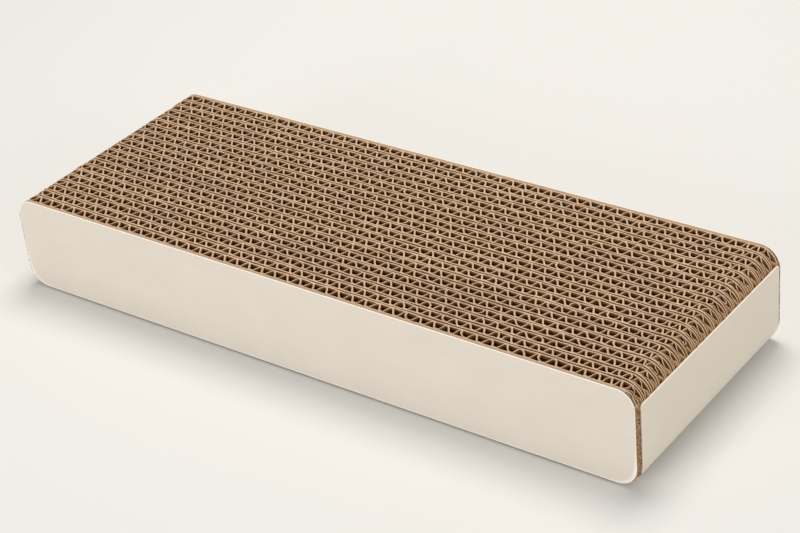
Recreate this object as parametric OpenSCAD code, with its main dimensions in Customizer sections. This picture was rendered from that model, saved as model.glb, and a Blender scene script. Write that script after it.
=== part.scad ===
// Cat scratcher: corrugated board strips on edge, glued side by side into a block.
// Millimetres. X runs along the strips, Y across them, Z up.
// The origin is the centre of the underside, on the surface that the block rests on.

/* [Block] */
// Overall length, with the card on both ends
block_l = 430; // [300:5:600]
// Overall height, with the card underneath
block_h = 60; // [45:1:90]
// Radius of the upper corners of every strip and side board
top_r = 11; // [6:0.5:18]
// Radius of the lower corners of every strip and side board
foot_r = 12.5; // [6:0.5:18]

/* [Strips] */
// Thickness of one strip of corrugated board, over both liners
strip_t = 6.9; // [5:0.1:9]
// Glue line between two neighbouring strips, and between an outer strip and its side board
glue_gap = 0.35; // [0:0.05:0.5]
// Thickness of the flat liner on each face of a strip
liner_t = 0.85; // [0.5:0.05:1.2]
// Thickness of the fluted medium between the liners
medium_t = 0.75; // [0.4:0.05:1]
// Length of one full wave of the medium
flute_pitch = 8.85; // [7:0.05:12]
// Width of the flat where a wave's crest is glued to a liner
crest_w = 1.6; // [1.2:0.1:2.4]

/* [Side boards] */
// Thickness of one side board, over both liners
board_t = 1.6; // [1.4:0.1:3]
// Thickness of each liner of a side board
board_liner_t = 0.35; // [0.25:0.05:0.45]
// Thickness of a side board's fluted medium
board_medium_t = 0.25; // [0.2:0.05:0.4]
// Length of one full wave of a side board's medium
board_pitch = 2.4; // [2:0.1:4]
// Width of the flat where a crest of that medium is glued
board_crest_w = 0.7; // [0.5:0.05:0.9]
// Height of the closed rim along a side board's upper and lower edge
board_rim_h = 1.2; // [0.5:0.1:3]
// Thickness of the cream facing sheet on a side board
facing_t = 0.45; // [0.3:0.05:1]

/* [Card] */
// Thickness of the card round the ends and the underside
card_t = 1.2; // [0.4:0.1:1.5]
// How far the card's front edge stands back from the front facing
card_front_inset = 4.5; // [3:0.1:12]
// How far the card's back edge stands in from the back facing
card_back_inset = 1.5; // [0.5:0.1:12]
// Height of the card's upper edges above the surface
card_h = 51; // [30:1:54]

/* [Hidden] */

strip_count = 21;

// How far a crest strays from its even place, as a share of one wave
stray_share = 0.035;
// How far the waves of one strip are shifted from those of the next, as a share of one wave
phase_share = 0.382;
// How much the wave of one strip may be longer or shorter than the next strip's
stretch_share = 0.02;
// Angles in degrees that spread the strays over the crests and the strips
crest_turn = 137.5;
strip_turn = 71;

// Overrun of every cut past the face that it opens
cut = 1;

core_l = block_l - 2 * card_t;
core_h = block_h - card_t;
row_pitch = strip_t + glue_gap;
core_w = strip_count * strip_t + (strip_count - 1) * glue_gap;
// Half the width across the strips, to the outer face of a side board and to that of its facing
board_face = core_w / 2 + glue_gap + board_t;
side_face = board_face + facing_t;
card_w = 2 * side_face - card_front_inset - card_back_inset;

kraft = "#c4a37c";
kraft_dark = "#a98a66";
cream = "#e0d6c6";
cream_shade = "#d5cab8";

// Rounded side view of the block in the plane X Z, grown all round by grow.
module side_view(grow) {
    half = core_l / 2 + grow;
    top = block_h + grow;
    foot = card_t - grow;
    rt = top_r + grow;
    rf = foot_r + grow;
    translate([-half, foot + rf]) square([2 * half, top - foot - rt - rf]);
    translate([rt - half, top - 2 * rt]) square([2 * (half - rt), 2 * rt]);
    translate([rf - half, foot]) square([2 * (half - rf), 2 * rf]);
    for (side = [-1, 1]) {
        translate([side * (half - rt), top - rt]) circle(r = rt, $fn = 96);
        translate([side * (half - rf), foot + rf]) circle(r = rf, $fn = 96);
    }
}

// The side view as a slab that lies between y and y + t.
module side_slab(y, t, grow = 0) {
    translate([0, y + t, 0])
        rotate([90, 0, 0])
            linear_extrude(height = t) side_view(grow);
}

// Place of crest k along a wave: even steps of half a wave, with a small stray of its own.
function crest_at(k, pitch, phase, row) =
    pitch * (k / 2 + phase + stray_share * sin(crest_turn * k + strip_turn * row));

// Hollow cells of one corrugated board from u = 0 to u = span, between v = 0 and v = deep.
// Cell k stands on one liner, its narrow tip under crest k, and cell k + 1 hangs from the other.
module cells(span, deep, pitch, medium, crest, phase, row) {
    tip = crest - medium;
    count = ceil(2 * span / pitch) + 2;
    for (k = [-3 : count]) {
        left = crest_at(k - 1, pitch, phase, row) + crest / 2;
        right = crest_at(k + 1, pitch, phase, row) - crest / 2;
        mid = crest_at(k, pitch, phase, row);
        base = k % 2 == 0 ? 0 : deep;
        far = k % 2 == 0 ? deep - medium : medium;
        if (right > 0 && left < span)
            polygon([[left, base], [right, base], [mid + tip / 2, far], [mid - tip / 2, far]]);
    }
}

// Flat section of strip number row: two liners and the waved medium between them.
module strip_section(row) {
    phase = (phase_share * row) % 1 - 1;
    pitch = flute_pitch * (1 + stretch_share * sin(strip_turn * row * row));
    difference() {
        square([core_l, strip_t]);
        translate([0, liner_t])
            cells(core_l, strip_t - 2 * liner_t, pitch, medium_t, crest_w, phase, row);
    }
}

// One strip on edge, flutes upright, cut to the rounded side view.
module strip(row) {
    y = (row - 1) * row_pitch - core_w / 2;
    color(kraft)
        intersection() {
            translate([-core_l / 2, y, card_t])
                linear_extrude(height = core_h) strip_section(row);
            side_slab(y - cut, strip_t + 2 * cut);
        }
}

// Section of a side board, its flutes running lengthwise and its rims closed.
module board_section() {
    open_h = core_h - 2 * board_rim_h;
    difference() {
        square([core_h, board_t]);
        intersection() {
            translate([board_rim_h, board_liner_t])
                cells(open_h, board_t - 2 * board_liner_t, board_pitch,
                      board_medium_t, board_crest_w, 0, 0);
            translate([board_rim_h, 0]) square([open_h, board_t]);
        }
    }
}

// A side board that lies between y and y + board_t.
module side_board(y) {
    color(kraft_dark)
        intersection() {
            translate([core_l / 2, y, card_t])
                rotate([0, -90, 0])
                    linear_extrude(height = core_l) board_section();
            side_slab(y - cut, board_t + 2 * cut);
        }
}

module front_board() {
    side_board(-board_face);
}

module back_board() {
    side_board(board_face - board_t);
}

module front_facing() {
    color(cream) side_slab(-side_face, facing_t);
}

module back_facing() {
    color(cream) side_slab(board_face, facing_t);
}

// One card folded up round both ends, its upper edges following the upper corners a little way.
module base_card() {
    color(cream_shade)
        translate([0, side_face - card_back_inset, 0])
            rotate([90, 0, 0])
                linear_extrude(height = card_w)
                    difference() {
                        side_view(card_t);
                        side_view(0);
                        translate([-block_l / 2 - cut, card_h])
                            square([block_l + 2 * cut, block_h]);
                    }
}

strip(1);  // strip_01
strip(2);  // strip_02
strip(3);  // strip_03
strip(4);  // strip_04
strip(5);  // strip_05
strip(6);  // strip_06
strip(7);  // strip_07
strip(8);  // strip_08
strip(9);  // strip_09
strip(10);  // strip_10
strip(11);  // strip_11
strip(12);  // strip_12
strip(13);  // strip_13
strip(14);  // strip_14
strip(15);  // strip_15
strip(16);  // strip_16
strip(17);  // strip_17
strip(18);  // strip_18
strip(19);  // strip_19
strip(20);  // strip_20
strip(21);  // strip_21
front_board();
back_board();
front_facing();
back_facing();
base_card();
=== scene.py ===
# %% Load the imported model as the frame
import math

import bmesh
import bpy
import numpy as np
from mathutils import Matrix, Vector


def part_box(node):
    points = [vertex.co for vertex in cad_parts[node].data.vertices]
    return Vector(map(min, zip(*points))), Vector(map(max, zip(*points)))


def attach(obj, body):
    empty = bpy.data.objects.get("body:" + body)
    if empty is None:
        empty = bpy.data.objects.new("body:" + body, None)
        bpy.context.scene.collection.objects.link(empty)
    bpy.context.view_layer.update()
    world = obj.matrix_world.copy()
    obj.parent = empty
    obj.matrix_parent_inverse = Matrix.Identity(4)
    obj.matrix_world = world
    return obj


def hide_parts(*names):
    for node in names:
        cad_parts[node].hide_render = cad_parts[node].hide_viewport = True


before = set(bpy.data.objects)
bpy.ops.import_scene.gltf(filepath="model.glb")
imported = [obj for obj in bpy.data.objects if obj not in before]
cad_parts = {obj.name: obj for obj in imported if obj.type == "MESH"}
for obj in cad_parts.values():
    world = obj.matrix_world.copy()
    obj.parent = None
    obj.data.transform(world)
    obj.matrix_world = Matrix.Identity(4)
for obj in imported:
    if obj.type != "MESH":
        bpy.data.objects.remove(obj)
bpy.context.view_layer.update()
print("nodes in the frame:", len(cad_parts))

# %% [markdown]
# The object is a cat scratcher: 21 strips of coarse corrugated board, glued side by side on edge, so that
# the open ends of their flutes make the top. Its places come from the frame, in metres. The few sizes that
# the frame's boxes can't say, such as the length of a flute, are named here as they are on the real board.

# %% Sizes of the real board
MM = 0.001
ROWS = 21
# Radii of the upper and the lower corners that every strip, side board and facing has
TOP_R = 11 * MM
FOOT_R = 12.5 * MM
# One full wave of the fluted medium, the flat where a crest is glued, and the thickness of the two papers
FLUTE_PITCH = 8.85 * MM
CREST_W = 1.5 * MM
LINER_T = 0.74 * MM
MEDIUM_T = 0.8 * MM

strip_low, strip_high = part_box("strip_01")
HALF_L = strip_high.x
GLUE_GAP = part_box("strip_02")[0].y - strip_high.y
FOOT_Z = strip_low.z
TOP_Z = strip_high.z
STRIP_T = strip_high.y - strip_low.y
MID_Z = (TOP_Z + FOOT_Z) / 2
print("strip of", round(2 * HALF_L / MM, 1), "by", round(STRIP_T / MM, 2), "mm")

# %% [markdown]
# Every strip, side board and facing has the same rounded side view. A Boolean cut could give it to each of
# them, but it would leave long thin faces. Here two functions give the upper and the lower edge at any place
# along the block, and a third says how deep a point lies inside. The depth is kept on each vertex as an
# attribute, so that a material can make the sawn edge paler than the paper behind it, and paint the shade
# that darkens the flutes further down.

# %% The rounded side view
CORNER_STEPS = 38
# Places are rounded to a micrometre, so that two that should be one are one
PLACE_DIGITS = 6


def corner_drop(x, radius):
    """How far a rounded corner of that radius takes the edge in at x."""
    inside = np.clip(np.abs(x) - (HALF_L - radius), 0, radius)
    return radius - np.sqrt(radius**2 - inside**2)


def top_edge(x):
    """Height of the side view's upper edge at x."""
    return TOP_Z - corner_drop(x, TOP_R)


def foot_edge(x):
    """Height of the side view's lower edge at x."""
    return FOOT_Z + corner_drop(x, FOOT_R)


def depth_inside(x, y, z):
    """Distance of points from the side view's outline, in metres, measured inwards."""
    radius = np.where(z > MID_Z, TOP_R, FOOT_R)
    out_x = np.abs(x) - (HALF_L - radius)
    out_z = np.where(z > MID_Z, z - (TOP_Z - radius), FOOT_Z + radius - z)
    corner = np.hypot(np.maximum(out_x, 0), np.maximum(out_z, 0))
    return radius - np.where((out_x > 0) & (out_z > 0), corner, np.maximum(out_x, out_z))


def corner_places():
    """Places in the rounded right end, from where the corner starts to the end itself."""
    return HALF_L - TOP_R + TOP_R * np.sin(np.linspace(0, math.pi / 2, CORNER_STEPS))


def places_along(step):
    """Places from end to end, evenly spaced, with more of them where the corners are rounded."""
    even = np.arange(-HALF_L + TOP_R, HALF_L - TOP_R, step)
    bend = corner_places()
    return np.unique(np.round(np.concatenate([even, bend, -bend]), PLACE_DIGITS))


# %% [markdown]
# Paper that a saw has pressed is nowhere quite straight. A noise texture could push the points about, but a
# row of random values joined by smooth steps is simpler, and comes out the same on every run. Each effect on
# each strip draws values of its own, so no two strips are alike.

# %% A value that wanders along the block
# The values cover this much on either side of the middle, which is more than half the block
WANDER_REACH = 0.3
SPARE_KNOTS = 4
# Each effect has a number, and its seed is that number past ten times the strip's
SEEDS_PER_STRIP = 10
FRONT_PRESSED, BACK_PRESSED, ROUGHENED, RAGGED_END, SWAYING = 1, 2, 3, 4, 6


def wander(x, spacing, row, effect):
    """Smooth random values between -1 and 1 that change over about that spacing."""
    rng = np.random.default_rng(row * SEEDS_PER_STRIP + effect)
    first = -WANDER_REACH // spacing
    knots = rng.uniform(-1, 1, int(2 * WANDER_REACH / spacing) + SPARE_KNOTS)
    place = x / spacing - first
    low = np.clip(place.astype(int), 0, len(knots) - 2)
    share = place - low
    share = share * share * (3 - 2 * share)
    return knots[low] * (1 - share) + knots[low + 1] * share


# %% [markdown]
# Each sheet of paper starts as a flat grid. Its columns are the places along the block and its rows are
# levels between the two edges, closer together near the top, where the saw has roughened the paper. The
# solidify operator closes it while it is still flat, which keeps tight bends clean. Then its points are moved
# to the side view, half the paper's thickness to either side of the curve that a function gives, square to
# it. A curve with a Solidify modifier could make the same wave, but not the finer levels near the top.

# %% Bend a grid into an upright sheet
# Depths below the sawn edge at which a sheet has a row of points
LEVELS = (0, 0.5 * MM, 1.6 * MM, 4 * MM, 10 * MM)
# Thickness of the flat sheet, which only tells its two sides apart
FLAT_T = 0.01
BURR_FADE = 0.7 * MM


def grid_line(place, count):
    """Which of count lines a point lies on, in a grid that goes from -1 to 1."""
    return round((place + 1) / 2 * (count - 1))


def straight(y):
    """A function for upright_sheet that keeps the whole sheet at y."""
    return lambda places: np.full(len(places), y)


def upright_sheet(bm, places, y_at, thickness, levels=LEVELS, burr=0):
    """Adds a closed upright sheet whose middle follows y_at(places). The burr widens its sawn edge by a
    share of the thickness. Thickness and burr are one number, or one for each place."""
    rows = len(levels) + 1
    count = len(places)
    made = bmesh.ops.create_grid(bm, x_segments=count - 1, y_segments=rows - 1, size=1)
    flat = list({f for v in made["verts"] for f in v.link_faces})
    solid = bmesh.ops.solidify(bm, geom=flat, thickness=FLAT_T)
    verts = set(made["verts"]) | {v for v in solid["geom"] if isinstance(v, bmesh.types.BMVert)}
    middle = y_at(places)
    slope = np.gradient(middle, places)
    half = thickness / 2 / np.hypot(slope, 1)
    sides = {side: np.clip(places - side * slope * half, -HALF_L, HALF_L) for side in (-1, 1)}
    top = {side: top_edge(x) for side, x in sides.items()}
    foot = {side: foot_edge(x) for side, x in sides.items()}
    burr = burr * np.ones(count)
    for v in verts:
        column = grid_line(v.co.x, count)
        row = grid_line(v.co.y, rows)
        side = 1 if abs(v.co.z) > FLAT_T / 2 else -1
        low = foot[side][column]
        high = top[side][column]
        depth = high - low if row == 0 else min(levels[rows - 1 - row], (high - low) / 2)
        out = side * half[column] * (1 + burr[column] * math.exp(-depth / BURR_FADE))
        x = min(max(places[column] - slope[column] * out, -HALF_L), HALF_L)
        v.co = (x, middle[column] + out, high - depth)
    faces = list({f for v in verts for f in v.link_faces})
    bmesh.ops.recalc_face_normals(bm, faces=faces)


# %% [markdown]
# The fluted medium is a wave between the liners. It is drawn as the real one looks: glued flat to a liner at
# each crest, with a leg in between. Its crests stand where the solids have them, in even steps of half a wave
# with a small stray of their own, and each strip's wave starts at another place. Only the last few are moved:
# at the right end of the real pad the flutes are crowded, and there the strips are in step. The saw has also
# set every second leg nearly upright, which makes the flat between two legs wider. A sine would be a shorter
# way to write a wave, but it has no flats, and its legs curve where paper stays straight.

# %% The wave of one strip
# As shares of one wave: how far a crest strays, how far each strip starts past the one before it, and how
# much longer or shorter its waves may be. The two angles in degrees spread the strays.
STRAY_SHARE = 0.035
PHASE_SHARE = 0.382
STRETCH_SHARE = 0.02
CREST_TURN = 137.5
STRIP_TURN = 71
# How much of a leg's curve is rounded, for a slanting leg and for an upright one
ROUND_SHARE = 0.3
UPRIGHT_ROUND_SHARE = 0.6
# How much of its run an upright leg loses, and how much of that the flat at the front gains
UPRIGHT_SHARE = 0.4
FRONT_FLAT_SHARE = 0.8
# Crests past each end of the block, and how much of its flat a crest keeps right at the end
EXTRA_CRESTS = 4
END_CREST_SHARE = 0.25
# Places of the crests near the right end, measured from that end, and their numbers counted from it. The
# move that brings a strip into step fades out within END_FADE of the last of them.
END_PLACES = np.array([-30.5, -0.5, 2.3, 6.3, 8.7, 11.5, 14.6, 17.5, 21.6, 25.3, 29.6, 33.6, 37.8, 41.6]) * MM
END_NUMBERS = np.array([-10, 0, 1, 2, 3, 4, 5, 6, 7, 8, 9, 10, 11, 12])
END_FADE = 50 * MM
# A crest this near to an end reaches only this share of the way to the front liner
CUT_CREST_W = 3.15 * MM
END_REACH = 0.6
# Where a leg has its columns of points, and the least distance between two columns
LEG_SHARES = np.array([0, 0.07, 0.18, 0.34, 0.5, 0.66, 0.82, 0.93, 1])
LEAST_STEP = 0.1 * MM


def crowd_end(at, behind, stray):
    """Moves the crests near the right end to where the real pad has them, numbered from that end."""
    inside = HALF_L - at
    anchor = np.where(behind, np.abs(inside - END_PLACES[-1]), np.inf).argmin()
    number = END_NUMBERS[-1] - (np.arange(len(at)) - anchor)
    past = (inside - inside[anchor]) / END_FADE
    faded = inside + (END_PLACES[-1] - inside[anchor]) * np.clip(1 - past, 0, 1)
    crowded = np.interp(number, END_NUMBERS, END_PLACES) + stray
    return HALF_L - np.where(number > END_NUMBERS[-1], faded, crowded)


def crests(row):
    """Places of the crests of one strip's wave along the block, and whether each lies at the back."""
    phase = (PHASE_SHARE * row) % 1 - 1
    pitch = FLUTE_PITCH * (1 + STRETCH_SHARE * math.sin(math.radians(STRIP_TURN * row * row)))
    k = np.arange(-EXTRA_CRESTS, math.ceil(4 * HALF_L / pitch) + 2 * EXTRA_CRESTS)
    stray = STRAY_SHARE * np.sin(np.radians(CREST_TURN * k + STRIP_TURN * row))
    at = pitch * (k / 2 + phase + stray) - HALF_L
    behind = k % 2 == 0
    return crowd_end(at, behind, pitch * stray), behind


def upright(row):
    """1 for a leg that the saw has set upright, which is every second one, and 0 for the others."""
    at, behind = crests(row)
    return np.where(behind, 0, np.interp(HALF_L - np.abs(at), (TOP_R, 2 * TOP_R), (0, 1)))[:-1]


def legs(row):
    """Where each leg of one strip's wave starts, and how far it runs along the block."""
    at, _ = crests(row)
    flat = CREST_W / 2 * np.interp(HALF_L - np.abs(at), (0, TOP_R), (END_CREST_SHARE, 1))
    starts = at[:-1] + flat[:-1]
    runs = at[1:] - flat[1:] - starts
    taken = UPRIGHT_SHARE * upright(row)
    return starts + runs * taken * FRONT_FLAT_SHARE, runs * (1 - taken)


def wave(row, y_front, y_back):
    """A function that gives the y of the medium's middle at places along the block."""
    at, behind = crests(row)
    starts, runs = legs(row)
    y_crest = np.where(behind, y_back, y_front)
    cut = np.abs(at) > HALF_L - CUT_CREST_W
    y_crest = np.where(cut, y_back + (y_crest - y_back) * END_REACH, y_crest)
    rounded = ROUND_SHARE + (UPRIGHT_ROUND_SHARE - ROUND_SHARE) * upright(row)

    def y_at(x):
        i = np.clip(np.searchsorted(at, x) - 1, 0, len(at) - 2)
        share = np.clip((x - starts[i]) / runs[i], 0, 1)
        curved = (1 - np.cos(math.pi * share)) / 2
        eased = rounded[i] * curved + (1 - rounded[i]) * share
        return y_crest[i] + (y_crest[i + 1] - y_crest[i]) * eased

    return y_at


def wave_places(row):
    """Places along the block that follow every crest and leg of one strip's wave."""
    at, _ = crests(row)
    starts, runs = legs(row)
    on_legs = (starts[:, None] + runs[:, None] * LEG_SHARES[None, :]).ravel()
    bend = corner_places()
    every = np.sort(np.concatenate([on_legs, at, bend[:-1], -bend[:-1]]))
    every = every[np.abs(every) < HALF_L - LEAST_STEP]
    apart = np.diff(every, prepend=-HALF_L) > LEAST_STEP
    return np.concatenate([[-HALF_L], every[apart], [HALF_L]])


print("columns of points along the first wave:", len(wave_places(1)))

# %% [markdown]
# Every new piece ends the same way. Its points are given their depth while they still lie where they were
# cut, and only then does wear move them. Shading is smooth, except across edges that are really sharp.

# %% Make a bmesh a finished piece
SHARP_ANGLE = math.radians(40)


def finish_piece(bm, name, node, material, depth_of=depth_inside, after=None, extra=None):
    """Turns a bmesh into a piece that rides on the block and stands for a CAD node. depth_of gives the
    depths, after moves the points, and extra names more attributes and what gives their values."""
    mesh = bpy.data.meshes.new(name)
    bm.to_mesh(mesh)
    bm.free()
    co = np.zeros(len(mesh.vertices) * 3)
    mesh.vertices.foreach_get("co", co)
    co = co.reshape(-1, 3)
    depth = np.maximum(depth_of(*co.T), 0)
    if after:
        mesh.vertices.foreach_set("co", after(co, depth).ravel())
    mesh.attributes.new("depth_mm", "FLOAT", "POINT").data.foreach_set("value", depth / MM)
    for key, value_of in (extra or {}).items():
        mesh.attributes.new(key, "FLOAT", "POINT").data.foreach_set("value", value_of(*co.T))
    mesh.polygons.foreach_set("use_smooth", [True] * len(mesh.polygons))
    mesh.set_sharp_from_angle(angle=SHARP_ANGLE)
    mesh.materials.append(material)
    piece = bpy.data.objects.new(name, mesh)
    bpy.context.scene.collection.objects.link(piece)
    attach(piece, "root")
    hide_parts(node)
    return piece


# %% [markdown]
# Materials come next. Kraft board is unbleached pulp: matt, brown, and made of long fibres that lie along
# the sheet. A sawn edge is paler than the face, because the torn fibres scatter light. All patterns are noise
# in the piece's own coordinates, so no sheet needs a UV map. One function turns a hex colour into the linear
# values that Blender wants, and one adds a node with its settings and links.

# %% Helpers for materials
# Nearly all values of a noise texture lie between these two
NOISE_RANGE = (0.3, 0.7)


def colour(hex_code):
    """Linear RGBA from an sRGB hex colour."""
    parts = [int(hex_code[i : i + 2], 16) / 255 for i in (1, 3, 5)]
    return [p / 12.92 if p <= 0.04045 else ((p + 0.055) / 1.055) ** 2.4 for p in parts] + [1]


def per_metre(size_mm):
    """Scale of a texture whose features measure that many millimetres."""
    return 1000 / size_mm


def add(tree, kind, settings=None, **inputs):
    """Adds a node. Settings are its properties; an input is a value or another node's socket."""
    node = tree.nodes.new(kind)
    for key, value in (settings or {}).items():
        setattr(node, key, value)
    for key, value in inputs.items():
        socket = node.inputs[int(key[1:])] if key[0] == "i" and key[1:].isdigit() else node.inputs[key]
        if isinstance(value, bpy.types.NodeSocket):
            tree.links.new(value, socket)
        else:
            socket.default_value = value
    return node


def new_material(name, roughness, specular):
    """An empty material: its tree, its shader and the piece's own coordinates."""
    material = bpy.data.materials.new(name)
    material.use_nodes = True
    tree = material.node_tree
    tree.nodes.clear()
    shader = add(tree, "ShaderNodeBsdfPrincipled")
    shader.inputs["Roughness"].default_value = roughness
    shader.inputs["Specular IOR Level"].default_value = specular
    output = add(tree, "ShaderNodeOutputMaterial")
    tree.links.new(shader.outputs["BSDF"], output.inputs["Surface"])
    place = add(tree, "ShaderNodeTexCoord").outputs["Object"]
    return material, tree, shader, place


def stretched_noise(tree, place, size_mm, detail=3.0, roughness=0.6):
    """Noise whose features measure size_mm = (x, y, z) millimetres."""
    scale = [per_metre(s) for s in size_mm]
    mapped = add(tree, "ShaderNodeMapping", Vector=place, Scale=scale)
    return add(
        tree, "ShaderNodeTexNoise", Vector=mapped.outputs[0], Scale=1.0, Detail=detail, Roughness=roughness
    ).outputs["Fac"]


def blend_colours(tree, share, first, second):
    """Colour that goes from first to second as share goes from 0 to 1."""
    mix = add(tree, "ShaderNodeMix", {"data_type": "RGBA"}, i0=share, i6=first, i7=second)
    return mix.outputs[2]


def span(tree, value, low, high, to_low=0.0, to_high=1.0):
    """Maps value from low..high to to_low..to_high and clamps it."""
    return add(tree, "ShaderNodeMapRange", i0=value, i1=low, i2=high, i3=to_low, i4=to_high).outputs[0]


def maths(tree, operation, first, second=0.0):
    """One operation on one or two values."""
    return add(tree, "ShaderNodeMath", {"operation": operation}, i0=first, i1=second).outputs[0]


def attribute(tree, name="depth_mm"):
    """A value that the piece's points carry."""
    return add(tree, "ShaderNodeAttribute", {"attribute_name": name}).outputs["Fac"]


def relief(tree, shader, height, depth_mm, strength=1.0):
    """Bump of that real depth."""
    bump = add(tree, "ShaderNodeBump", Height=height, Distance=depth_mm * MM, Strength=strength)
    tree.links.new(bump.outputs[0], shader.inputs["Normal"])


# %% [markdown]
# The strips' kraft has three zones by depth below the sawn edge. The cut itself is pale and fuzzy. Just
# below it the paper has its plain kraft brown, and further down that brown is darkened to a deep one as
# painted shade, which makes the open flutes look dark, as they do on the real pad. On the rounded ends the
# painted shade sets in deeper, so it is lighter there, and the cut is made a more saturated brown as painted
# warm shade. The liners are a little paler than the medium. The zones could be painted on as a mask, but the
# depth attribute tells them apart exactly. Real fibres are finer than a pixel, so the patterns are drawn as
# coarse as they need to be to show.

# %% Kraft board with sawn edges
# How deep the pale cut reaches, and the depth at which the painted shade of the flutes is full
SAWN_DEPTH_MM = 0.45
FULL_SHADE_DEPTH_MM = 2.6
# Brightness of the two papers, and of the palest and the darkest blotch
LINER_TONE = 1.08
MEDIUM_TONE = 0.98
BLOTCH_RANGE = (0.7, 1.3)
BLOTCH_TONES = (0.88, 1.1)
# On the rounded ends: the share at which depth counts for the painted shade, which makes it lighter there,
# and the cut's saturation, raised as painted warm shade
END_SHADE_SCALE = 0.75
END_WARM_SHADE = 1.2
# The noise values between which a torn face goes from dark to pale
RAG_RANGE = (0.4, 0.57)


def kraft_board(name, deep, upper_wall, edge, torn):
    """Each of deep, dusty, edge and torn is a pair of hex colours that the fibres mix. The first is painted
    shade for the deepest walls, the second the plain brown of the wall just below the cut.
    """
    material, tree, shader, place = new_material(name, roughness=0.9, specular=0.25)
    fibres = stretched_noise(tree, place, (3.0, 0.5, 0.8), detail=5)
    sawn = stretched_noise(tree, place, (0.5, 0.4, 0.6), detail=4, roughness=0.7)
    blotches = stretched_noise(tree, place, (18, 7.2, 25), detail=2)
    row_tone = stretched_noise(tree, place, (300, 6, 300), detail=0)
    grain = span(tree, fibres, *NOISE_RANGE)
    # Painted shade: the deep walls of the flutes get a darker brown than the wall just below the cut
    shaded_wall_tone = blend_colours(tree, grain, colour(deep[0]), colour(deep[1]))
    upper_wall_tone = blend_colours(tree, grain, colour(upper_wall[0]), colour(upper_wall[1]))
    edge_tone = blend_colours(tree, span(tree, sawn, *NOISE_RANGE), colour(edge[0]), colour(edge[1]))
    depth = attribute(tree)
    along = maths(tree, "ABSOLUTE", add(tree, "ShaderNodeSeparateXYZ", Vector=place).outputs["X"])
    # Near the rounded ends depth counts for less, so the painted shade of the flutes is lighter there
    shade_scale = span(tree, along, HALF_L - TOP_R, HALF_L - TOP_R / 2, 1.0, END_SHADE_SCALE)
    # The walls go from their plain brown to the painted shade as depth grows
    wall_share = span(tree, maths(tree, "MULTIPLY", depth, shade_scale), SAWN_DEPTH_MM, FULL_SHADE_DEPTH_MM)
    wall = blend_colours(tree, wall_share, upper_wall_tone, shaded_wall_tone)
    # Painted warm shade: the cut on the lower part of the rounded ends is made more saturated
    warm_shade = span(tree, along, HALF_L - TOP_R / 2, HALF_L, 1.0, END_WARM_SHADE)
    warm_shaded_edge = add(tree, "ShaderNodeHueSaturation", Color=edge_tone, Saturation=warm_shade).outputs[0]
    body = blend_colours(tree, span(tree, depth, 0.0, SAWN_DEPTH_MM), warm_shaded_edge, wall)
    rags = stretched_noise(tree, place, (1.0, 0.9, 1.1), detail=4, roughness=0.7)
    torn_tone = blend_colours(tree, span(tree, rags, *RAG_RANGE), colour(torn[0]), colour(torn[1]))
    body = blend_colours(tree, attribute(tree, "torn"), body, torn_tone)
    blotch = span(tree, maths(tree, "ADD", blotches, row_tone), *BLOTCH_RANGE, *BLOTCH_TONES)
    paper = span(tree, attribute(tree, "liner"), 0.0, 1.0, MEDIUM_TONE, LINER_TONE)
    value = maths(tree, "MULTIPLY", blotch, paper)
    toned = add(tree, "ShaderNodeHueSaturation", Color=body, Value=value).outputs[0]
    tree.links.new(toned, shader.inputs["Base Color"])
    relief(tree, shader, sawn, depth_mm=0.15, strength=0.7)
    return material


kraft_strip = kraft_board(
    "kraft_strip",
    # Painted shade: the colour of the deepest walls of the flutes
    deep=("#723e0e", "#8a4f18"),
    upper_wall=("#986c3a", "#b48852"),
    edge=("#b89c80", "#dec2a6"),
    torn=("#5a4129", "#b0926d"),
)

# %% [markdown]
# The cream paper is coated with clay, which makes it smoother than kraft and a little less matt. Its cut edge
# is paler than its face, because its body is bleached pulp, and the pale colour also runs half a millimetre
# on to the face as a painted highlight. The card is one cream ply on a brown one. The plies could be two
# pieces, but they are glued into one sheet, so a second attribute says how far a point lies through the card
# and picks the ply's colour. The real grain of the coating is too fine to show, and is drawn coarser.

# %% Cream paper, clay coated on one side
# The cut's pale colour reaches this far from the edge, on to the face as a painted highlight
CUT_AND_HIGHLIGHT_MM = 0.5
# The card's two plies meet half way through it. It lies outside the side view, so its depths are negative.
PLY_RANGE_MM = (-0.6, -0.5)
MOTTLE_RANGE = (0.75, 1.25)


def cream_paper(name, low, high, edge, brown=None):
    """low and high are the face's tones, edge is the cut's, which also paints a highlight on the face beside
    it, and brown is the inner ply's, if it has one.
    """
    material, tree, shader, place = new_material(name, roughness=0.62, specular=0.3)
    cloud = stretched_noise(tree, place, (28, 28, 14), detail=2)
    grain = stretched_noise(tree, place, (0.7, 0.7, 0.35), detail=4)
    mottle = maths(tree, "ADD", cloud, grain)
    face = blend_colours(tree, span(tree, mottle, *MOTTLE_RANGE), colour(low), colour(high))
    # The pale cut, and a painted highlight on the face up to half a millimetre from it
    body = blend_colours(tree, span(tree, attribute(tree), 0.0, CUT_AND_HIGHLIGHT_MM), colour(edge), face)
    if brown:
        inner_ply = span(tree, attribute(tree, "skin_mm"), *PLY_RANGE_MM)
        body = blend_colours(tree, inner_ply, body, colour(brown))
    tree.links.new(body, shader.inputs["Base Color"])
    relief(tree, shader, grain, depth_mm=0.02, strength=0.5)
    return material


# The edge colour is the cut's pale core and a painted highlight beside it
cream_facing = cream_paper("cream_facing", low="#dfd6c9", high="#e3dacd", edge="#fff6ea")
cream_card = cream_paper("cream_card", low="#ddd4c5", high="#e1d8c9", edge="#fff6ea", brown="#bf9f7c")

# %% [markdown]
# A strip is three sheets in one mesh: two liners and the wave between them. The saw has pressed the sheets
# together a little, so the dark line between two strips opens and closes along the top. The legs of the wave
# are bent by handling, most of them slightly and a few a good deal, and both effects fade with depth. Wear
# could be sculpted by hand, but there are 21 strips, so a function moves the points of each of them.

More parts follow.
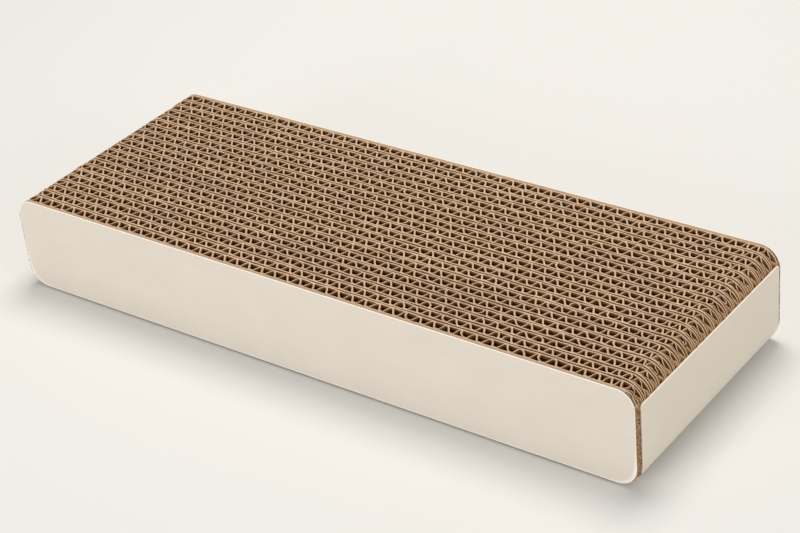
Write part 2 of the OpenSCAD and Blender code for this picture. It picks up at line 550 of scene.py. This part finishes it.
# %% Wear of a strip's upper edge
# The saw takes up to this much off each point, and this share of it differs from point to point
SAW_ROUGH = 0.25 * MM
POINT_SHARE = 0.6
ROUGH_SPACING = 1.5 * MM
# Points less deep than this lie on the sawn edge
EDGE_DEPTH = 0.01 * MM
# How far each side of a strip is pressed in
PRESS = 0.38 * MM
PRESS_SPACING = 9 * MM
PRESS_FADE = 5 * MM
# How far the legs are bent along the strip: most of them, and the few that are crushed
LEG_BEND = 0.28 * MM
CRUSH_BEND = 1.0 * MM
CRUSH_SHARE = 0.06
END_CRUSH_SHARE = 0.4
BEND_FADE = 5 * MM
# How far the papers between the liners sway in the rounded ends
RAGGED = 0.55 * MM
RAGGED_SPACING = 1.6 * MM
RAGGED_FADE = 3 * MM
# The front strip's outer liner is torn inwards near the right end
TORN_X = HALF_L - 4 * MM
TORN_LENGTH = 1.5 * MM
TORN_DEPTH = 1.1 * MM


def worn_strip(row, low, high):
    """A function that moves a strip's points as wear does. It takes them with their depths."""
    crest_at, _ = crests(row)
    rng = np.random.default_rng(row)
    bends = rng.normal(0, LEG_BEND, len(crest_at))
    at_end = np.abs(crest_at) > HALF_L - TOP_R
    crushed = rng.random(len(crest_at)) < np.where(at_end, END_CRUSH_SHARE, CRUSH_SHARE)
    bends = np.where(crushed, np.sign(bends) * CRUSH_BEND, bends)

    def worn(co, depth):
        x, y, z = co.T
        i = np.clip(np.searchsorted(crest_at, x) - 1, 0, len(crest_at) - 2)
        across = np.clip((y - low.y) / STRIP_T, 0, 1)
        inner = np.clip((y - low.y - LINER_T) / (STRIP_T - 2 * LINER_T), 0, 1)
        x_new = x + bends[i] * np.sin(math.pi * inner) ** 2 * np.exp(-depth / BEND_FADE)
        fade = np.exp(-depth / PRESS_FADE)
        front_press = PRESS * (1 + wander(x, PRESS_SPACING, row, FRONT_PRESSED)) * fade
        back_press = PRESS * (1 + wander(x, PRESS_SPACING, row, BACK_PRESSED)) * fade
        if row == 1:
            torn = TORN_DEPTH * np.exp(-(((x - TORN_X) / TORN_LENGTH) ** 2))
            front_press = (torn - GLUE_GAP) * fade
        if row == ROWS:
            back_press = -GLUE_GAP * fade
        y_new = y + front_press * (1 - across) - back_press * across
        between = np.sin(math.pi * inner) * np.exp(-depth / RAGGED_FADE) * (np.abs(x) > HALF_L - TOP_R)
        y_new += RAGGED * wander(np.abs(x) - z, RAGGED_SPACING, row, RAGGED_END) * between
        rough = rng.uniform(0, 1, len(x)) * POINT_SHARE
        rough += (1 - POINT_SHARE) * (1 + wander(x, ROUGH_SPACING, row, ROUGHENED)) / 2
        at_edge = (depth < EDGE_DEPTH) & (z > MID_Z)
        z_new = z - np.where(at_edge, rough * SAW_ROUGH, 0)
        limit = np.maximum(np.abs(x), HALF_L)
        return np.stack([np.clip(x_new, -limit, limit), y_new, z_new], -1)

    return worn


# %% [markdown]
# The outermost strips show a little of their ends between the side board and the card. There the knife has
# run along a leg of the wave, and a torn scrap of it covers the last flute and the end of the side board. Its
# fibres could be drawn as hairs, but at this size a small bumpy sheet with a groove, and with a few faces
# taken out for the holes, looks the same and stays one closed mesh with its strip.

# %% Torn scrap over the last flute of an outer strip
SCRAP_T = 0.4 * MM
# How far it reaches over its strip and over the side board, and from which share of the lower corner to
# which share of the upper one
SCRAP_W = 3.6 * MM
SCRAP_LAP = 1.93 * MM
SCRAP_LOW_SHARE = 0.2
SCRAP_HIGH_SHARE = 0.7
SCRAP_COLUMNS = 11
SCRAP_ROWS = 96
SCRAP_SEED = 500
# How far it stands out from the strip's end, its bumps, and the height over which its upper edge lies down
SCRAP_RISE = 0.45 * MM
SCRAP_BUMP = 0.3 * MM
SCRAP_EASE = 2.5 * MM
# Points this far outside the side view belong to a scrap
SCRAP_PROUD = 0.05 * MM
# The groove along the folded edge of the leg, and the holes in it
GROOVE_SHARE = 0.52
GROOVE_W = 0.5 * MM
GROOVE_DEPTH = 0.6 * MM
HOLE_HEIGHTS = np.array([47.5, 45.1, 42.5, 40.9, 34.5, 27.5, 21.9, 15.4]) * MM
HOLE_W = 0.5 * MM


def torn_scrap(bm, side, y_front, y_back, rng):
    """Adds the scrap at the right end (side 1) or the left one (side -1)."""
    made = bmesh.ops.create_grid(bm, x_segments=SCRAP_COLUMNS, y_segments=SCRAP_ROWS, size=1)
    z_low = FOOT_Z + FOOT_R * SCRAP_LOW_SHARE
    z_high = TOP_Z - TOP_R * SCRAP_HIGH_SHARE
    groove_y = y_front + (y_back - y_front) * GROOVE_SHARE
    for v in made["verts"]:
        z = z_low + (z_high - z_low) * (v.co.y + 1) / 2
        y = y_front + (y_back - y_front) * (v.co.x + 1) / 2
        up = max(z - (TOP_Z - TOP_R), 0)
        down = max(FOOT_Z + FOOT_R - z, 0)
        inset = TOP_R - math.sqrt(TOP_R**2 - up**2) + FOOT_R - math.sqrt(FOOT_R**2 - down**2)
        groove = GROOVE_DEPTH * math.exp(-(((y - groove_y) / GROOVE_W) ** 2))
        rise = (SCRAP_RISE - groove + SCRAP_BUMP * rng.uniform(-1, 1)) * min((z_high - z) / SCRAP_EASE, 1)
        v.co = (side * (HALF_L - inset + rise), y, z)
    faces = list({f for v in made["verts"] for f in v.link_faces})
    centres = {f: f.calc_center_median() for f in faces}
    holes = [
        f
        for f, centre in centres.items()
        if abs(centre.y - groove_y) < HOLE_W and np.abs(HOLE_HEIGHTS - centre.z).min() < HOLE_W
    ]
    bmesh.ops.delete(bm, geom=holes, context="FACES")
    faces = [f for f in faces if f.is_valid]
    bmesh.ops.recalc_face_normals(bm, faces=faces)
    if sum(f.normal.x for f in faces) * side < 0:
        bmesh.ops.reverse_faces(bm, faces=faces)
    bmesh.ops.solidify(bm, geom=faces, thickness=SCRAP_T)


# %% [markdown]
# In the rounded ends the saw has pressed the last leg of each wave against the front liner, where its edge
# shows as one more pale line. The wave itself can't fold back like that, because it has one y at each place,
# so the pressed leg is one more upright sheet.

# %% The last leg of a wave, pressed against the front liner
PRESSED_T = 0.5 * MM
PRESSED_LENGTH = 8.2 * MM
PRESSED_INSET = 0.5 * MM
PRESSED_POINTS = 24
# How far it stands off the liner, how far it sways, and the length over which it comes away
PRESSED_RISE = 1.5 * MM
PRESSED_SWAY = 0.35 * MM
SWAY_SPACING = 2.2 * MM
PRESSED_EASE = PRESSED_LENGTH / 3


def pressed_leg(row, y_front):
    """A function that gives the y of the pressed leg's middle at places along the block."""

    def y_at(x):
        along = np.clip((np.abs(x) - (HALF_L - PRESSED_LENGTH)) / PRESSED_EASE, 0, 1)
        sway = PRESSED_SWAY * wander(x, SWAY_SPACING, row, SWAYING)
        return y_front + LINER_T / 2 + along * (PRESSED_RISE + sway)

    return y_at


# %% [markdown]
# Now a strip can be put together. Its medium is thinner in the rounded ends, where the saw has worn it, and
# on the legs that turn away from the saw. The other legs carry a burr. Real board is glued along each crest,
# so the wave sinks a little into the liners there and leaves no gap.

# %% One strip of corrugated board
LINER_STEP = 1.1 * MM
CREST_SINK = 0.05 * MM
# The medium's thinning at the ends, which sets in over END_BLEND, and on the legs that turn away
END_BLEND = 4 * MM
END_THINNING = 0.35
LEE_THINNING = 0.25
BURR = 0.2


def build_strip(row):
    """Makes strip number row, counted from the front."""
    node = f"strip_{row:02d}"
    low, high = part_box(node)
    bm = bmesh.new()
    places = places_along(LINER_STEP)
    upright_sheet(bm, places, straight(low.y + LINER_T / 2), LINER_T)
    upright_sheet(bm, places, straight(high.y - LINER_T / 2), LINER_T)
    inset = LINER_T + MEDIUM_T / 2 - CREST_SINK
    places = wave_places(row)
    wave_y = wave(row, low.y + inset, high.y - inset)
    at_end = np.clip((np.abs(places) - (HALF_L - TOP_R)) / END_BLEND, 0, 1)
    facing_saw = np.clip(-np.gradient(wave_y(places), places), 0, 1)
    thickness = MEDIUM_T * (1 - END_THINNING * at_end) * (1 - LEE_THINNING * (1 - facing_saw))
    upright_sheet(bm, places, wave_y, thickness, burr=BURR * facing_saw)
    for side in (-1, 1):
        inside = np.linspace(HALF_L - PRESSED_LENGTH, HALF_L - PRESSED_INSET, PRESSED_POINTS)
        upright_sheet(bm, side * inside[::side], pressed_leg(row, low.y), PRESSED_T)
    if row in (1, ROWS):
        rng = np.random.default_rng(SCRAP_SEED + row)
        for side in (-1, 1):
            outer, inward = (low.y, 1) if row == 1 else (high.y, -1)
            torn_scrap(bm, side, outer - inward * SCRAP_LAP, outer + inward * SCRAP_W, rng)
    worn = worn_strip(row, low, high)
    extra = {
        "torn": lambda x, y, z: (depth_inside(x, y, z) < -SCRAP_PROUD).astype(float),
        "liner": lambda x, y, z: (np.minimum(y - low.y, high.y - y) < LINER_T + CREST_SINK).astype(float),
    }
    return finish_piece(bm, f"{node}_board", node, kraft_strip, after=worn, extra=extra)


def triangles(piece):
    """How many triangles a piece's mesh comes to."""
    return sum(len(polygon.vertices) - 2 for polygon in piece.data.polygons)


strips = [build_strip(row) for row in range(1, ROWS + 1)]
print("triangles in the first strip:", triangles(strips[0]))

# %% [markdown]
# The side boards keep their exact solids: fine corrugated board whose flutes run lengthwise and show as small
# holes at the ends. They could be made anew as the strips are, but only their edges and ends are seen, and
# the solids have those right. Their material has no depth attribute to read, so the streaked sawn edge, the
# rough ends that a knife has cut and the smooth faces are told apart by the direction of the surface.

# %% Fine corrugated board for the sides
SPECK_RANGE = (0.35, 0.65)
BOARD_TONES = (0.92, 1.06)
# How far a surface has to face an end, or a side, to count as that
END_FACING = (0.6, 0.95)
SIDE_FACING = (0.5, 0.8)


def fine_board(name, face, end, edge):
    """face is the colour of the sides, and each of end and edge is a pair that the fibres mix."""
    material, tree, shader, place = new_material(name, roughness=0.9, specular=0.25)
    streaks = stretched_noise(tree, place, (2.5, 0.4, 0.5), detail=5)
    specks = stretched_noise(tree, place, (0.8, 0.8, 1.1), detail=3, roughness=0.7)
    patches = stretched_noise(tree, place, (14, 14, 14), detail=3)
    normal = add(tree, "ShaderNodeNewGeometry").outputs["Normal"]
    direction = add(tree, "ShaderNodeSeparateXYZ", Vector=normal)
    along = maths(tree, "ABSOLUTE", direction.outputs["X"])
    across = maths(tree, "ABSOLUTE", direction.outputs["Y"])
    edge_tone = blend_colours(tree, span(tree, streaks, *NOISE_RANGE), colour(edge[0]), colour(edge[1]))
    end_tone = blend_colours(tree, span(tree, specks, *SPECK_RANGE), colour(end[0]), colour(end[1]))
    cut = blend_colours(tree, span(tree, along, *END_FACING), edge_tone, end_tone)
    body = blend_colours(tree, span(tree, across, *SIDE_FACING), cut, colour(face))
    value = span(tree, patches, *NOISE_RANGE, *BOARD_TONES)
    toned = add(tree, "ShaderNodeHueSaturation", Color=body, Value=value).outputs[0]
    tree.links.new(toned, shader.inputs["Base Color"])
    relief(tree, shader, streaks, depth_mm=0.2, strength=0.8)
    return material


side_kraft = fine_board(
    "side_kraft", face="#8a6840", end=("#7d5c3c", "#b08c66"), edge=("#a68b70", "#c3a98e")
)
for node in ("front_board", "back_board"):
    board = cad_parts[node]
    board.data.materials.clear()
    board.data.materials.append(side_kraft)
    print(node, "keeps its solid, with", triangles(board), "triangles")

# %% [markdown]
# A cream sheet is pasted on each side board. It is thin, so its cut edge shows as a bright line that runs
# round the whole side face: the cut's own pale colour, and a painted highlight on the face beside it. A copy
# of the solid would do for its shape, but the same upright sheet as above also carries the depth that makes
# the edge bright.

# %% Cream facings
FACING_STEP = 4 * MM
FACING_LEVELS = (0, 0.4 * MM, 3 * MM, 12 * MM, 20 * MM)


def build_facing(node):
    """Makes the cream sheet that stands for that node."""
    low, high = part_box(node)
    bm = bmesh.new()
    middle = (low.y + high.y) / 2
    thickness = high.y - low.y
    upright_sheet(bm, places_along(FACING_STEP), straight(middle), thickness, FACING_LEVELS)
    return finish_piece(bm, f"{node}_sheet", node, cream_facing)


facings = [build_facing(node) for node in ("front_facing", "back_facing")]
print("triangles in the front facing:", triangles(facings[0]))

# %% [markdown]
# One cream card is folded up round both ends and covers the underside. It starts as a grid too: one way runs
# across the strips and the other follows the side view's outline from one upper edge to the other. A flat
# sheet could be bent by a modifier, but the route of four bends is simpler to write down point by point. The
# upper corners of the card are slightly rounded by handling, and its back edge is cut a little short, so
# that the end of the back board shows past it as the thin brown line of the real one.

# %% The card round the ends and the underside
card_low, card_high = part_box("base_card")
CARD_T = FOOT_Z - card_low.z
CARD_TOP = card_high.z
CARD_SHORT = 1.3 * MM
CARD_FRONT = card_low.y
CARD_BACK = card_high.y - CARD_SHORT
CARD_CORNER = 1.6 * MM
# Points round a lower bend, and where they lie in the bend at the top, closer together near the edge
CARD_BEND_POINTS = 14
CARD_LIFT_SHARES = np.array([0, 0.3, 0.6, 0.72, 0.8, 0.88, 0.95, 1])
# Places across the card: those near each edge, and the even ones between
CARD_NEAR = np.array([0, 0.12, 0.4, 0.8, 1.2, 1.6]) * MM
CARD_MARGIN = 6 * MM
CARD_LINES = 24


def card_route():
    """Points (x, z) on the middle of the card, from the left upper edge round the foot to the right one."""
    foot_r = FOOT_R + CARD_T / 2
    top_r = TOP_R + CARD_T / 2
    lift = math.asin((CARD_TOP - (TOP_Z - TOP_R)) / top_r)
    right = []
    for turn in np.linspace(math.pi / 2, 0, CARD_BEND_POINTS):
        right.append((HALF_L - FOOT_R + foot_r * math.cos(turn), FOOT_Z + FOOT_R - foot_r * math.sin(turn)))
    for turn in lift * CARD_LIFT_SHARES:
        right.append((HALF_L - TOP_R + top_r * math.cos(turn), TOP_Z - TOP_R + top_r * math.sin(turn)))
    left = [(-x, z) for x, z in reversed(right)]
    return left + right


def card_depth(x, y, z):
    """Distance of points from the card's nearest cut edge."""
    return np.minimum(np.minimum(y - CARD_FRONT, CARD_BACK - y), CARD_TOP - z)


def round_card_corners(co, depth):
    """Pulls the points near the four upper corners on to quarter circles."""
    x, y, z = co.T
    middle = (CARD_FRONT + CARD_BACK) / 2
    half = (CARD_BACK - CARD_FRONT) / 2
    past_y = np.maximum(np.abs(y - middle) - (half - CARD_CORNER), 0)
    past_z = np.maximum(z - (CARD_TOP - CARD_CORNER), 0)
    reach = np.hypot(past_y, past_z)
    scale = np.where(reach > 0, np.maximum(past_y, past_z) / np.maximum(reach, 1e-9), 1)
    y_new = y - np.sign(y - middle) * past_y * (1 - scale)
    z_new = z - past_z * (1 - scale)
    return np.stack([x, y_new, z_new], -1)


def build_card():
    """Makes the card: a grid bent round the block, then given its thickness."""
    route = card_route()
    width = CARD_BACK - CARD_FRONT
    middle = np.linspace(CARD_MARGIN, width - CARD_MARGIN, CARD_LINES)
    lines = CARD_FRONT + np.concatenate([CARD_NEAR, middle, width - CARD_NEAR[::-1]])
    bm = bmesh.new()
    bmesh.ops.create_grid(bm, x_segments=len(route) - 1, y_segments=len(lines) - 1, size=1)
    for v in bm.verts:
        x, z = route[grid_line(v.co.x, len(route))]
        v.co = (x, lines[grid_line(v.co.y, len(lines))], z)
    bmesh.ops.recalc_face_normals(bm, faces=bm.faces)
    if sum(f.normal.z * f.calc_area() for f in bm.faces) > 0:
        bmesh.ops.reverse_faces(bm, faces=bm.faces)
    for v in bm.verts:
        v.co += v.normal * CARD_T / 2
    bmesh.ops.solidify(bm, geom=list(bm.faces), thickness=CARD_T)
    extra = {"skin_mm": lambda x, y, z: depth_inside(x, y, z) / MM}
    return finish_piece(
        bm, "base_card_sheet", "base_card", cream_card, card_depth, round_card_corners, extra
    )


card = build_card()
print("triangles in the card:", triangles(card))

# %% [markdown]
# The set is a plain pale floor under soft light. The sky is even. A sun would be simpler, but it would throw
# hard shadows into the flutes. So one large lamp hangs over the block, a little behind it, which makes the
# tops bright and doesn't reach the walls of the flutes that the camera sees. Two low soft lamps light the
# front and the right end. Together they are weak enough for a colour to render about as it is written.

# %% Floor, sky and lamps
# Half the floor's width, in metres
FLOOR_HALF = 6
SKY_STRENGTH = 0.47


def pale_floor():
    """A plain matt white, a little warm."""
    material, tree, shader, _ = new_material("pale_floor", roughness=0.9, specular=0.1)
    shader.inputs["Base Color"].default_value = colour("#e8e7e4")
    return material


def away(azimuth, elevation):
    """Direction from the block, in degrees. Azimuth 0 is in front of it, and 90 is at its right end."""
    a = math.radians(azimuth)
    e = math.radians(elevation)
    return Vector((math.sin(a) * math.cos(e), -math.cos(a) * math.cos(e), math.sin(e)))


floor_mesh = bpy.data.meshes.new("floor")
bm = bmesh.new()
bmesh.ops.create_grid(bm, x_segments=1, y_segments=1, size=FLOOR_HALF)
bm.to_mesh(floor_mesh)
bm.free()
floor_mesh.materials.append(pale_floor())
floor = bpy.data.objects.new("floor", floor_mesh)
bpy.context.scene.collection.objects.link(floor)

world = bpy.data.worlds.new("sky")
bpy.context.scene.world = world
world.use_nodes = True
sky = world.node_tree.nodes["Background"]
sky.inputs["Color"].default_value = colour("#ffffff")
sky.inputs["Strength"].default_value = SKY_STRENGTH


def soft_lamp(name, azimuth, elevation, distance, size, watts, tint="#ffffff"):
    """A square area lamp that faces the block, with its distance and size in metres."""
    back = away(azimuth, elevation)
    data = bpy.data.lights.new(name, "AREA")
    data.size = size
    data.energy = watts
    data.color = colour(tint)[:3]
    lamp = bpy.data.objects.new(name, data)
    lamp.location = back * distance
    lamp.rotation_mode = "QUATERNION"
    lamp.rotation_quaternion = (-back).to_track_quat("-Z", "Y")
    bpy.context.scene.collection.objects.link(lamp)


soft_lamp("overhead", azimuth=200, elevation=72, distance=1.6, size=0.8, watts=15, tint="#fffaf2")
soft_lamp("front_fill", azimuth=-8, elevation=14, distance=1.6, size=0.8, watts=8.3)
soft_lamp("end_fill", azimuth=80, elevation=16, distance=1.8, size=0.8, watts=6.2)

# %% [markdown]
# The camera stands where the photograph was taken from. It could be set by eye, but its place and lens were
# worked out from the block's straight edges, which is how the sizes were found too. It is tilted a few
# degrees about its own axis.

# %% Camera
# Angles in degrees, distance and target in metres
VIEW_AZIMUTH = 38.554
VIEW_ELEVATION = 31.448
VIEW_ROLL = -5.7785
VIEW_DISTANCE = 1.2099
VIEW_TARGET = Vector((0.0122, 0, 0.03351))
FOCAL_PIXELS = 2097.5
IMAGE_WIDTH = 800
SENSOR_MM = 36

roll = math.radians(VIEW_ROLL)
backwards = away(VIEW_AZIMUTH, VIEW_ELEVATION)
right = Vector((0, 0, 1)).cross(backwards).normalized()
up = backwards.cross(right)
right_rolled = right * math.cos(roll) + up * math.sin(roll)
up_rolled = up * math.cos(roll) - right * math.sin(roll)
camera_data = bpy.data.cameras.new("camera")
camera_data.sensor_width = SENSOR_MM
camera_data.lens = FOCAL_PIXELS / IMAGE_WIDTH * SENSOR_MM
camera = bpy.data.objects.new("camera", camera_data)
bpy.context.scene.collection.objects.link(camera)
axes = Matrix((right_rolled, up_rolled, backwards)).transposed().to_4x4()
camera.matrix_world = Matrix.Translation(VIEW_TARGET + backwards * VIEW_DISTANCE) @ axes
bpy.context.scene.camera = camera
bpy.context.scene.view_settings.view_transform = "Standard"
print("lens of", round(camera_data.lens, 1), "mm")
